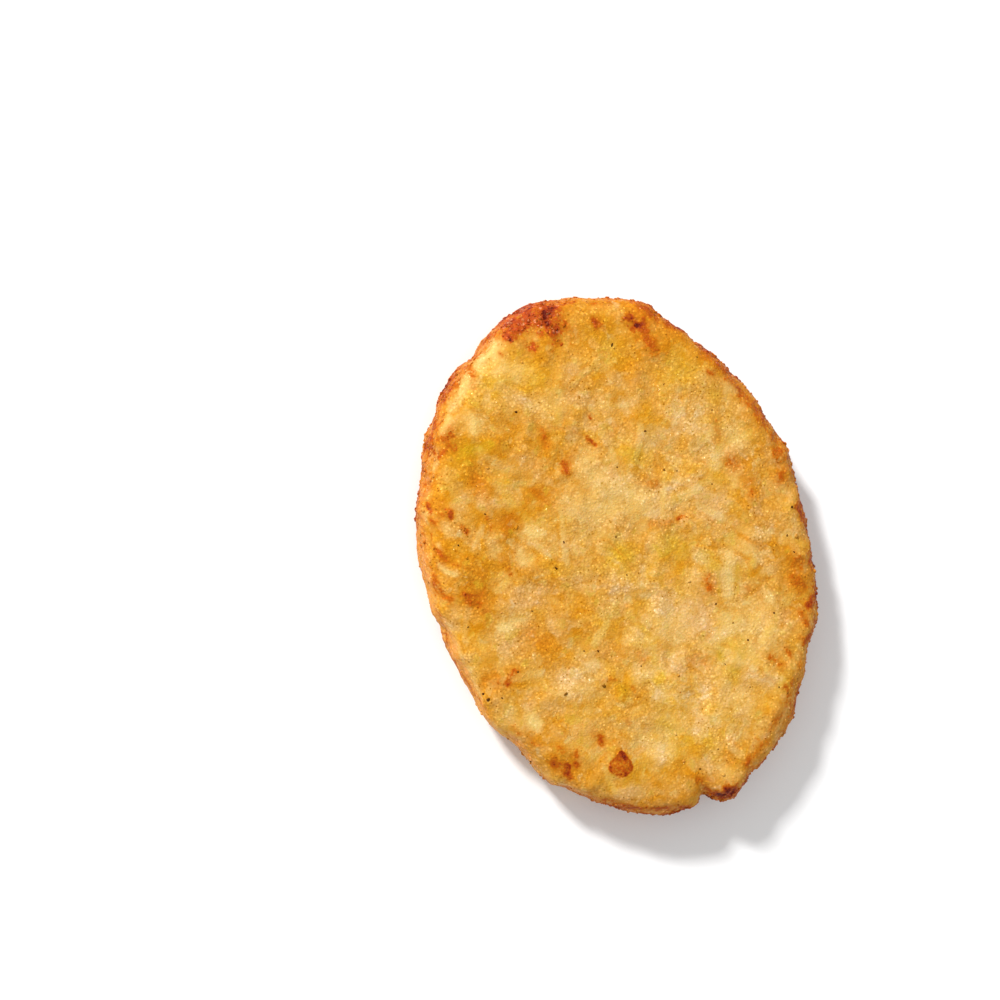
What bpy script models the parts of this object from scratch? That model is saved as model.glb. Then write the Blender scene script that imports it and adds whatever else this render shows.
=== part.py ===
"""An oval hash brown: one pressed patty of grated potato, fried until its edge is crisp.

The patty lies flat on +Z with its long axis along Y, and its origin is under the middle of its
bounding box. The body is an oval with a rounded side. Its relief is worked out by functions: broad
swells, the shreds of potato that show through the crust, and the crags that stand out at the rim.
All lengths are in metres, and all angles are measured in the XY plane from +X, in degrees.
"""

import math
import random

import bmesh
import bpy
import numpy as np
from mathutils import Vector, noise
from mathutils.geometry import delaunay_2d_cdt

NODE = "hash_brown"

# Driving dimensions: the oval before its crags, and the full thickness
LENGTH = 0.098
WIDTH = 0.073
THICKNESS = 0.0130

# The side: how far in from the outline the face starts to bend, and how square the bend is
SHOULDER = 0.0052
SHOULDER_POWER = 2.5

# Mesh: distance between points on the faces, points round the rim, and rows up each half of the side
FACE_SPACING = 0.00162
RIM_POINTS = 164
SIDE_ROWS = 6

# Outline features: (angle, how far it stands out, width along the rim)
RIM_FEATURES = (
    (92.0, 0.0006, 0.0080),  # brow of the head
    (78.0, -0.0004, 0.0100),
    (70.0, 0.0004, 0.0080),  # browned crag at the upper right
    (53.5, -0.0010, 0.0065),  # dip below that crag
    (32.0, 0.0003, 0.0100),
    (11.0, 0.0008, 0.0080),
    (-9.0, -0.0004, 0.0080),
    (-31.0, 0.0005, 0.0060),  # browned crag on the right
    (-48.0, -0.0006, 0.0140),  # flat stretch above the tail
    (-55.5, -0.0011, 0.0080),
    (-73.5, 0.0006, 0.0070),
    (-83.0, 0.0015, 0.0055),  # crag at the tail
    (-89.5, -0.0022, 0.0035),  # notch beside it
    (-111.0, -0.0003, 0.0220),
    (-127.0, 0.0005, 0.0050),
    (-138.0, -0.0007, 0.0080),
    (-149.0, 0.0006, 0.0060),
    (-160.0, -0.0004, 0.0070),
    (-176.0, -0.0005, 0.0060),  # dip in the belly on the left
    (163.0, 0.0004, 0.0060),
    (152.0, 0.0008, 0.0090),  # upper end of the belly
    (140.5, -0.0006, 0.0060),
    (128.0, 0.0004, 0.0170),
    (107.0, -0.0013, 0.0060),  # step beside the browned head
    (103.0, 0.0004, 0.0040),
)

# Marks on the upper face: (x, y, how far it stands out, width)
FACE_MARKS = (
    (-0.0138, -0.0357, 0.0007, 0.0046),  # blister near the tail
    (-0.0237, -0.0327, -0.0005, 0.0040),
    (-0.0017, 0.0458, -0.0007, 0.0042),  # hole in the browned head
    (0.0144, 0.0406, -0.0006, 0.0038),
    (0.0174, 0.0416, 0.0006, 0.0040),
    (-0.0007, 0.0221, -0.0004, 0.0040),
    (-0.0319, 0.0118, 0.0005, 0.0036),
    (-0.0250, 0.0320, 0.0005, 0.0040),
    (-0.0064, 0.0121, 0.0003, 0.0100),
    (0.0169, -0.0090, 0.0004, 0.0060),
    (-0.0094, -0.0203, -0.0003, 0.0050),
)

# Browned head, a patch of coarse lumps on the rim: (x, y), and width
HEAD = Vector((-0.0069, 0.0461))
HEAD_WIDTH = 0.0180

# Relief: (size of the lumps, how far they stand out)
SWELLS = (0.0220, 0.00045)
LUMPS = (0.0055, 0.00040)
RIM_LUMPS = (0.0034, 0.00050)

# Shreds of potato that show through the crust
SHREDS = 330
SHRED_LENGTH = (0.006, 0.015)
SHRED_RADIUS = (0.0011, 0.0017)
SHRED_HEIGHT = (0.00025, 0.00060)

# The underside: it hangs a little lower in the middle, and whatever hangs lowest is pressed flat
BELLY = 0.0004
BELLY_WIDTH = 0.0220
PRESSED = 0.00070

SEED = 11


def outline_radius(angle):
    """How far the outline is from the middle, at an angle in radians."""
    oval = 1 / math.hypot(math.cos(angle) * 2 / WIDTH, math.sin(angle) * 2 / LENGTH)
    features = 0.0
    for place, height, width in RIM_FEATURES:
        turn = (angle - math.radians(place) + math.pi) % math.tau - math.pi
        features += height * math.exp(-((turn * oval / (width / 2)) ** 2))
    return oval + features


def side_point(angle, lift):
    """A point on the rounded side; lift runs from -1 at the lower face to 1 at the upper one."""
    turn = abs(lift) * math.pi / 2
    inward = SHOULDER * (1 - math.cos(turn) ** (2 / SHOULDER_POWER))
    height = THICKNESS / 2 * math.sin(turn) ** (2 / SHOULDER_POWER)
    radius = outline_radius(angle) - inward
    across, along = radius * math.cos(angle), radius * math.sin(angle)
    return Vector((across, along, math.copysign(height, lift)))


def add_side(mesh):
    """Builds the rounded side as rows of points, and returns its lowest and highest row."""
    rows = []
    for row in range(-SIDE_ROWS, SIDE_ROWS + 1):
        shift = row % 2 / 2
        angles = [(i + shift) * math.tau / RIM_POINTS for i in range(RIM_POINTS)]
        rows.append([mesh.verts.new(side_point(angle, row / SIDE_ROWS)) for angle in angles])
    for row, (lower, upper) in enumerate(zip(rows, rows[1:])):
        lower_is_shifted = (row - SIDE_ROWS) % 2
        for i in range(RIM_POINTS):
            j = (i + 1) % RIM_POINTS
            if lower_is_shifted:
                mesh.faces.new((lower[i], lower[j], upper[j]))
                mesh.faces.new((lower[i], upper[j], upper[i]))
            else:
                mesh.faces.new((lower[i], lower[j], upper[i]))
                mesh.faces.new((lower[j], upper[j], upper[i]))
    return rows[0], rows[-1]


def grid_points():
    """A grid of equal triangles, kept half a space clear of where the side starts to bend."""
    found = []
    row_height = FACE_SPACING * math.sqrt(3) / 2
    rows = math.ceil(LENGTH / 2 / row_height)
    columns = math.ceil(WIDTH / 2 / FACE_SPACING)
    for row in range(-rows, rows + 1):
        shift = FACE_SPACING / 2 if row % 2 else 0.0
        for column in range(-columns, columns + 1):
            point = Vector((column * FACE_SPACING + shift, row * row_height))
            edge = outline_radius(math.atan2(point.y, point.x)) - SHOULDER
            if point.length < edge - FACE_SPACING / 2:
                found.append(point)
    return found


def add_face(mesh, rim, height):
    """Fills one row of the side's points with a flat face of near-equal triangles."""
    flat = [vertex.co.to_2d() for vertex in rim]
    edges = [(i, (i + 1) % len(rim)) for i in range(len(rim))]
    inside_edges = 1
    points, _, faces, *_ = delaunay_2d_cdt(flat + grid_points(), edges, [], inside_edges, 1e-7)
    vertices = list(rim)
    vertices += [mesh.verts.new((*point, height)) for point in points[len(rim) :]]
    for face in faces:
        mesh.faces.new([vertices[i] for i in face])


def add_smooth_body(mesh):
    """Builds the oval body with no relief, centred on the origin."""
    lowest, highest = add_side(mesh)
    add_face(mesh, lowest, -THICKNESS / 2)
    add_face(mesh, highest, THICKNESS / 2)
    bmesh.ops.recalc_face_normals(mesh, faces=mesh.faces[:])
    mesh.normal_update()


def lump_heights(points, size, height):
    """How far lumps of one size lift each point."""
    return np.array([height * noise.fractal(point / size, 0.8, 2.0, 2) for point in points])


def coarseness(points):
    """How coarse the crust is at each point: 0 on the faces, 1 at the outline and more at the head."""
    shares = []
    for point in points:
        edge = outline_radius(math.atan2(point.y, point.x))
        inward = (edge - point.to_2d().length) / SHOULDER
        head = math.exp(-(((point.to_2d() - HEAD).length / (HEAD_WIDTH / 2)) ** 2))
        shares.append(min(1.0, max(0.0, 1.2 - inward)) + head)
    return np.array(shares)


def mark_heights(points, marks):
    """How far marks, each (x, y, how far it stands out, width), lift each point."""
    lifted = np.zeros(len(points))
    places = np.array(points)
    for x, y, height, width in marks:
        away = np.hypot(places[:, 0] - x, places[:, 1] - y) / (width / 2)
        lifted += height * np.exp(-(away**2))
    return lifted


def shred_heights(points, normals, draw):
    """How far shreds of potato, laid at random along the surface, lift each point."""
    places = np.array(points)
    lifted = np.zeros(len(places))
    for _ in range(SHREDS):
        middle = int(draw.random() * len(points))
        along = Vector([draw.uniform(-1, 1) for _ in range(3)]).cross(normals[middle])
        along = np.array(along.normalized())
        half = draw.uniform(*SHRED_LENGTH) / 2
        radius = draw.uniform(*SHRED_RADIUS)
        height = draw.uniform(*SHRED_HEIGHT)
        offset = places - places[middle]
        nearest = np.clip(offset @ along, -half, half)
        away = np.linalg.norm(offset - nearest[:, None] * along, axis=1) / radius
        lifted = np.maximum(lifted, height * np.clip(1 - away**2, 0, 1))
    return lifted


def add_relief(mesh):
    """Moves each point along its normal by the swells, lumps, rim crags, marks and shreds."""
    draw = random.Random(SEED)
    points = [vertex.co.copy() for vertex in mesh.verts]
    normals = [vertex.normal.copy() for vertex in mesh.verts]
    upper = np.array([point.z > 0 for point in points])
    heights = lump_heights(points, *SWELLS) + lump_heights(points, *LUMPS)
    heights += coarseness(points) * lump_heights(points, *RIM_LUMPS)
    heights += upper * mark_heights(points, FACE_MARKS)
    heights += ~upper * mark_heights(points, [(0.0, 0.0, BELLY, BELLY_WIDTH)])
    heights += shred_heights(points, normals, draw)
    for vertex, normal, height in zip(mesh.verts, normals, heights):
        vertex.co += normal * float(height)


def press_and_centre(mesh):
    """Presses the patty to its thickness with a flat underside, and sets the origin."""
    places = np.array([vertex.co for vertex in mesh.verts])
    low, high = places.min(axis=0), places.max(axis=0)
    low[2] += PRESSED
    origin = np.array(((low[0] + high[0]) / 2, (low[1] + high[1]) / 2, low[2]))
    squeeze = np.array((1.0, 1.0, THICKNESS / (high[2] - low[2])))
    for vertex, place in zip(mesh.verts, (places - origin) * squeeze):
        vertex.co = place
        vertex.co.z = max(vertex.co.z, 0.0)


def fried_potato():
    """Golden crust, a little oily."""
    material = bpy.data.materials.new("fried_potato")
    material.use_nodes = True
    shader = material.node_tree.nodes["Principled BSDF"]
    shader.inputs["Base Color"].default_value = (0.76, 0.40, 0.075, 1)
    shader.inputs["Roughness"].default_value = 0.5
    shader.inputs["Metallic"].default_value = 0.0
    return material


def main():
    for old in list(bpy.data.objects):
        bpy.data.objects.remove(old)
    mesh = bmesh.new()
    add_smooth_body(mesh)
    add_relief(mesh)
    press_and_centre(mesh)
    data = bpy.data.meshes.new(NODE)
    mesh.to_mesh(data)
    mesh.free()
    data.shade_smooth()
    data.materials.append(fried_potato())
    bpy.context.scene.collection.objects.link(bpy.data.objects.new(NODE, data))


main()
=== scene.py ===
"""The looks of an oval hash brown: golden shreds of potato under a grainy, oily crust.

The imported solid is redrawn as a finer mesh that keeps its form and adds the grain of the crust.
Places on the shown face are given as pixels of the 1000 x 1000 photograph, and a ray from the
camera finds each one on the patty. Lengths are in metres unless a name says otherwise.
"""

import math
import random

import bmesh
import bpy
import numpy as np
from mathutils import Matrix, Vector, noise
from mathutils.bvhtree import BVHTree


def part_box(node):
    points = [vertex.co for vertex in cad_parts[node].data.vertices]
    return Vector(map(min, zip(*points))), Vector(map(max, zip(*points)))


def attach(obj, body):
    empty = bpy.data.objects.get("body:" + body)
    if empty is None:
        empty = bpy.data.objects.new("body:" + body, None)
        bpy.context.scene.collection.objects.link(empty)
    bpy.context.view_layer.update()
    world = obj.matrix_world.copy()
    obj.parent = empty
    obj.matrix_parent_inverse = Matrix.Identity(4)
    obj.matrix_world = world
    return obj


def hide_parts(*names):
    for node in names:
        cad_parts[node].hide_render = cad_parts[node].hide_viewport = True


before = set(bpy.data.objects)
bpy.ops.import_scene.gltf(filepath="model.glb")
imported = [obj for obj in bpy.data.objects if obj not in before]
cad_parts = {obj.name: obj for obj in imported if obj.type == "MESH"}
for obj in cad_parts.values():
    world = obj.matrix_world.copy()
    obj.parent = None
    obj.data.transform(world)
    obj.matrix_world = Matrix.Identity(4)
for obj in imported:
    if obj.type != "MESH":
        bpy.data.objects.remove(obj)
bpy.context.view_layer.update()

NODE = "hash_brown"
MM = 0.001
SEED = 5

# The photograph's frame, and the patty's middle and scale in it
FRAME_PX = 1000
PATTY_PX = (621.4, 556.5)
PX_PER_METRE = 5375

# Camera: how far it stands from straight above, towards which side, and how far it is rolled
LENS_MM = 85
SENSOR_MM = 36
TILT = math.radians(17)
TILT_TOWARDS = math.radians(155)
ROLL = math.radians(17.7)

# Light: the key comes over the patty's upper left
KEY_TOWARDS = Vector((-0.39, 0.92, 0.69)).normalized()
KEY_DISTANCE = 2.0
KEY_SIZE = 0.27
KEY_POWER = 47
SKY_STRENGTH = 0.67

# Colours of the crust, as sRGB
GOLD_BROWN = (184, 106, 10)
GOLD_DEEP = (194, 127, 24)
GOLD = (204, 150, 60)
GOLD_LIGHT = (214, 170, 86)
CREAM = (228, 188, 112)
PALE = (218, 185, 106)
LEAFY = (186, 145, 18)
ORANGE = (204, 128, 30)
SALMON = (226, 150, 70)
SALMON_DEEP = (190, 118, 66)
# pale pink of a painted highlight on the beads of fat, also the colour of lighter crumbs
PALE_CRUMB_AND_BEAD_HIGHLIGHT = (234, 160, 96)
RUST = (170, 62, 14)
TOASTED = (198, 126, 22)
TANNED = (186, 106, 8)
BROWNED = (170, 82, 4)
REDDENED = (152, 60, 3)
DARK = (128, 38, 3)
BURNT = (92, 20, 3)
PEPPER_DARK = (58, 28, 4)
PEPPER_BROWN = (90, 50, 8)
PEPPER_LIGHT = (124, 80, 14)

# The golden crust from its darkest tone to its lightest, a mark from its edge in, and pepper
GOLDEN_TONES = (
    (0.10, GOLD_BROWN),
    (0.28, GOLD_DEEP),
    (0.48, GOLD),
    (0.68, GOLD_LIGHT),
    (0.88, CREAM),
)
BROWNED_TONES = (
    (0.10, TOASTED),
    (0.30, TANNED),
    (0.48, BROWNED),
    (0.66, REDDENED),
    (0.84, DARK),
    (1.00, BURNT),
)
PEPPER_TONES = ((0.0, PEPPER_DARK), (0.6, PEPPER_BROWN), (1.0, PEPPER_LIGHT))

# What the crust's colour is multiplied by, as linear RGBA: nowhere changed, where its yellow is
# least and most vivid, and in the pits and on the tops of its fine grain, the tops being where the
# painted glint highlights lift it
PLAIN = (1.0, 1.0, 1.0, 1.0)
LEAST_VIVID = (0.98, 1.04, 1.62, 1.0)
MOST_VIVID = (1.0, 0.98, 0.38, 1.0)
GRAIN_LOW = (0.56, 0.43, 0.04, 1.0)
GRAIN_TOP = (1.66, 1.89, 3.24, 1.0)

# Sizes of what shows in the crust's colour
MOTTLE_SIZE = 9 * MM
PIECE_SIZE = 4.0 * MM
BIT_SIZE = 1.5 * MM
FLECK_SIZE = 1.1 * MM
FINE_SIZE = 0.40 * MM
WARP_SIZE = 2.5 * MM
WARP = 4 * MM

# Dots in the crust's colour: size of the cell that each is in, radius as a share of that, and the
# share of cells left out
BROWN_DOTS = (1.3 * MM, 0.13, 0.75)
# beads of fat on the head, painted as highlights in the colour
BEAD_HIGHLIGHT_DOTS = (1.1 * MM, 0.36, 0.50)
# painted glint highlights in the colour, which the coat also makes glossy
PAINTED_GLINTS = (0.72 * MM, 0.28, 0.74)
PITS = (0.75 * MM, 0.26, 0.72)
GRANULE_SIZE = 0.62 * MM

# Marks on the shown face. Each is (from x, from y, to x, to y) in the photograph, then its width in
# mm and its strength.
BROWN_MARKS = (
    # browned head
    (481, 346, 490, 331, 2.0, 0.56),
    (488, 336, 499, 323, 2.4, 0.58),
    (500, 323, 522, 310, 3.6, 0.66),
    (520, 309, 552, 302, 3.2, 0.56),
    (508, 332, 518, 328, 3.4, 0.66),
    (512, 326, 546, 314, 5.6, 0.66),
    (524, 330, 540, 331, 3.2, 0.40),
    (550, 308, 556, 330, 4.4, 0.70),
    (484, 341, 500, 337, 1.4, 0.40),
    (544, 313, 547, 326, 2.1, 1.15),
    (510, 337, 511, 341, 0.75, 1.10),
    (532, 346, 536, 350, 1.4, 0.62),
    (524, 340, 530, 350, 2.4, 0.30),
    (516, 328, 530, 334, 2.6, 0.30),
    (500, 353, 503, 355, 0.9, 0.32),
    (516, 314, 524, 313, 1.4, 0.70),
    (528, 306, 531, 308, 1.2, 0.72),
    (552, 324, 557, 334, 2.6, 0.62),
    # upper edge and upper right
    (594, 320, 598, 327, 1.8, 0.55),
    (570, 303, 612, 303, 1.4, 0.35),
    (633, 320, 637, 324, 2.6, 0.98),
    (643, 307, 655, 317, 3.2, 0.62),
    (645, 330, 651, 350, 4.8, 0.46),
    (645, 330, 648, 336, 2.4, 0.30),
    (668, 324, 700, 346, 2.8, 0.40),
    (704, 350, 724, 370, 3.4, 0.46),
    (714, 360, 725, 369, 1.9, 0.52),
    (710, 372, 713, 375, 1.6, 0.40),
    (726, 372, 750, 402, 3.2, 0.38),
    (761, 411, 763, 418, 1.6, 0.60),
    (765, 425, 767, 430, 1.4, 0.48),
    (742, 401, 745, 403, 1.6, 0.35),
    (754, 406, 774, 440, 3.4, 0.38),
    (768, 428, 786, 460, 3.0, 0.28),
    (776, 450, 783, 476, 3.6, 0.42),
    (781, 458, 783, 470, 1.7, 0.40),
    # left edge
    (478, 352, 466, 362, 0.9, 0.42),
    (462, 364, 455, 376, 1.5, 0.46),
    (456, 374, 444, 394, 1.7, 0.44),
    (444, 394, 434, 418, 1.7, 0.46),
    (434, 418, 427, 448, 1.7, 0.48),
    (427, 448, 421, 478, 1.7, 0.46),
    (421, 478, 418, 505, 1.4, 0.42),
    (418, 505, 417, 530, 1.1, 0.34),
    (432, 500, 432, 540, 0.9, 0.30),
    (432, 540, 440, 590, 0.9, 0.28),
    (450, 427, 452, 433, 1.8, 0.48),
    (444, 438, 447, 442, 1.7, 0.48),
    (447, 446, 455, 449, 1.6, 0.50),
    (440, 450, 442, 453, 1.5, 0.44),
    (470, 366, 473, 378, 1.3, 0.34),
    (476, 477, 478, 489, 3.2, 0.33),
    (469, 369, 475, 388, 1.6, 0.33),
    (429, 507, 432, 511, 1.1, 0.70),
    (449, 510, 450, 519, 1.0, 0.75),
    (440, 514, 444, 516, 1.2, 0.50),
    (431, 519, 436, 523, 1.4, 0.40),
    (461, 527, 466, 532, 1.0, 0.58),
    (488, 518, 492, 526, 1.6, 0.38),
    (438, 553, 446, 559, 2.0, 0.42),
    (434, 546, 440, 556, 0.8, 0.44),
    (448, 562, 468, 569, 1.1, 0.33),
    (434, 573, 437, 590, 1.7, 0.45),
    (442, 594, 450, 600, 2.2, 0.38),
    (439, 616, 447, 640, 1.8, 0.30),
    (447, 640, 456, 664, 2.0, 0.38),
    (456, 664, 473, 690, 2.0, 0.40),
    (473, 690, 485, 708, 1.4, 0.32),
    (466, 595, 479, 595, 1.6, 0.58),
    (470, 600, 480, 606, 2.2, 0.40),
    # middle
    (541, 431, 547, 446, 1.4, 0.42),
    (550, 426, 575, 431, 0.7, 0.34),
    (575, 431, 588, 439, 0.7, 0.36),
    (588, 440, 596, 445, 1.05, 0.70),
    (565, 464, 567, 474, 1.6, 0.62),
    (588, 415, 590, 418, 0.6, 0.80),
    (647, 479, 656, 483, 2.0, 0.32),
    (731, 459, 736, 466, 3.0, 0.34),
    (749, 482, 754, 492, 3.2, 0.34),
    (717, 420, 718, 440, 1.8, 0.27),
    (509, 570, 511, 574, 1.3, 0.40),
    (655, 525, 676, 521, 2.4, 0.28),
    (678, 520, 682, 518, 1.1, 0.55),
    (708, 579, 710, 587, 2.6, 0.36),
    (747, 587, 749, 590, 1.2, 0.34),
    (530, 632, 542, 642, 4.0, 0.25),
    (617, 681, 611, 679, 0.9, 0.38),
    (611, 679, 604, 682, 0.9, 0.38),
    (634, 688, 636, 692, 0.9, 0.38),
    (640, 655, 644, 660, 2.2, 0.30),
    (694, 658, 706, 660, 3.6, 0.27),
    # right edge
    (796, 560, 800, 566, 3.4, 0.36),
    (794, 578, 802, 586, 3.4, 0.36),
    (815, 592, 817, 606, 2.0, 0.66),
    (802, 614, 806, 622, 2.4, 0.50),
    (810, 636, 813, 642, 1.6, 0.60),
    (787, 652, 791, 655, 1.5, 0.45),
    (772, 658, 780, 664, 2.6, 0.32),
    (785, 690, 790, 704, 2.4, 0.36),
    (801, 655, 790, 696, 2.2, 0.30),
    (788, 700, 768, 738, 2.4, 0.32),
    (768, 738, 746, 766, 2.4, 0.36),
    (798, 506, 806, 530, 1.0, 0.70),
    # tail
    (566, 766, 568, 774, 1.8, 0.78),
    (554, 760, 560, 766, 2.6, 0.48),
    (574, 757, 578, 764, 2.2, 0.40),
    (561, 748, 564, 752, 1.4, 0.32),
    (600, 739, 602, 744, 1.6, 0.50),
    (593, 730, 597, 736, 1.8, 0.28),
    (532, 742, 539, 745, 2.2, 0.40),
    (513, 728, 517, 733, 1.6, 0.30),
    (627, 720, 628, 724, 1.0, 0.36),
    (697, 782, 706, 786, 2.8, 0.36),
    (726, 754, 732, 760, 3.2, 0.22),
    (722, 796, 735, 791, 2.5, 1.15),
    (486, 680, 498, 682, 2.6, 0.33),
    (508, 684, 516, 671, 1.4, 0.55),
    (593, 800, 640, 808, 1.0, 0.42),
    (640, 808, 690, 806, 1.0, 0.42),
)

# The browned head, which is redder than the other marks: its middle pixel and its size
HEAD = (526, 324)
HEAD_RADIUS = 7.5 * MM

# The leaf-shaped blister near the tail: the pixels of its tip and its rounded foot, and its width
BLISTER_TIP = (621.6, 749.0)
BLISTER_FOOT = (620.0, 778.5)
BLISTER_WIDTH = 4.7 * MM

# Pale shreds, and pale edges that are partly painted highlights, given as the browned marks are
PALE_MARKS = (
    # shoulder beside the browned head, and down the left edge: pale crust, partly a painted
    # highlight where the shoulder faces the key light
    (488, 352, 494, 345, 2.6, 0.85),
    (476, 366, 484, 356, 2.2, 0.75),
    (464, 386, 472, 372, 1.6, 0.60),
    (452, 410, 462, 392, 1.6, 0.60),
    (442, 436, 449, 416, 1.4, 0.55),
    (434, 470, 438, 450, 1.3, 0.45),
    (473, 420, 474, 430, 2.0, 0.70),
    # lower left edge, a thin pale line along the rim that is a painted highlight
    (446, 622, 460, 656, 1.6, 0.40),
    (460, 656, 480, 696, 1.6, 0.45),
    (480, 700, 500, 730, 1.2, 0.50),
    (500, 731, 522, 752, 1.0, 0.55),
    (522, 752, 548, 777, 1.0, 0.50),
    (548, 777, 592, 797, 1.0, 0.50),
    # upper half
    (500, 366, 520, 372, 4.5, 0.30),
    (545, 404, 560, 406, 5.0, 0.30),
    (584, 462, 600, 486, 5.5, 0.45),
    (575, 505, 606, 516, 7.0, 0.42),
    (612, 490, 640, 500, 5.5, 0.48),
    (734, 434, 736, 444, 4.0, 0.50),
    (727, 384, 729, 392, 2.0, 0.35),
    (734, 472, 735, 484, 1.6, 0.50),
    (530, 532, 537, 534, 2.6, 0.75),
    (493, 540, 495, 552, 2.6, 0.42),
    (446, 528, 452, 532, 1.8, 0.38),
    (438, 546, 440, 550, 1.0, 0.60),
    # lower half
    (520, 552, 524, 562, 2.2, 0.60),
    (503, 626, 509, 627, 1.8, 1.00),
    (512, 622, 522, 620, 2.2, 0.65),
    (440, 566, 454, 574, 1.1, 0.65),
    (729, 553, 727, 592, 2.5, 0.62),
    (740, 620, 762, 626, 7.0, 0.38),
    (660, 620, 676, 634, 6.0, 0.30),
    (764, 594, 770, 600, 3.0, 0.40),
    (750, 652, 766, 648, 5.0, 0.34),
    (532, 721, 536, 725, 1.6, 1.00),
    (640, 740, 668, 744, 4.0, 0.32),
    (724, 772, 732, 778, 4.0, 0.40),
    (570, 690, 588, 686, 4.5, 0.30),
)

# Greenish yellow shreds, given as the browned marks are
LEAFY_MARKS = (
    # left
    (460, 451, 470, 450, 2.4, 0.75),
    (478, 449, 490, 447, 1.8, 0.55),
    # middle
    (616, 554, 628, 556, 4.0, 0.55),
    (670, 545, 680, 548, 4.0, 0.45),
    (632, 454, 636, 457, 3.2, 0.60),
    (676, 366, 690, 376, 4.5, 0.40),
    (653, 642, 654, 662, 1.8, 0.45),
    (664, 722, 668, 728, 3.4, 0.50),
    (656, 690, 660, 720, 3.0, 0.20),
    (597, 322, 612, 352, 4.0, 0.30),
    (622, 688, 626, 692, 1.6, 0.50),
    # right
    (712, 565, 715, 568, 2.2, 0.55),
    (716, 421, 720, 424, 1.8, 0.50),
    (737, 566, 736, 592, 0.9, 0.75),
    (718, 572, 719, 592, 0.8, 0.65),
    (720, 652, 722, 660, 2.0, 0.75),
    (732, 667, 735, 670, 1.6, 0.55),
    (711, 388, 713, 402, 2.2, 0.22),
)

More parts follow.
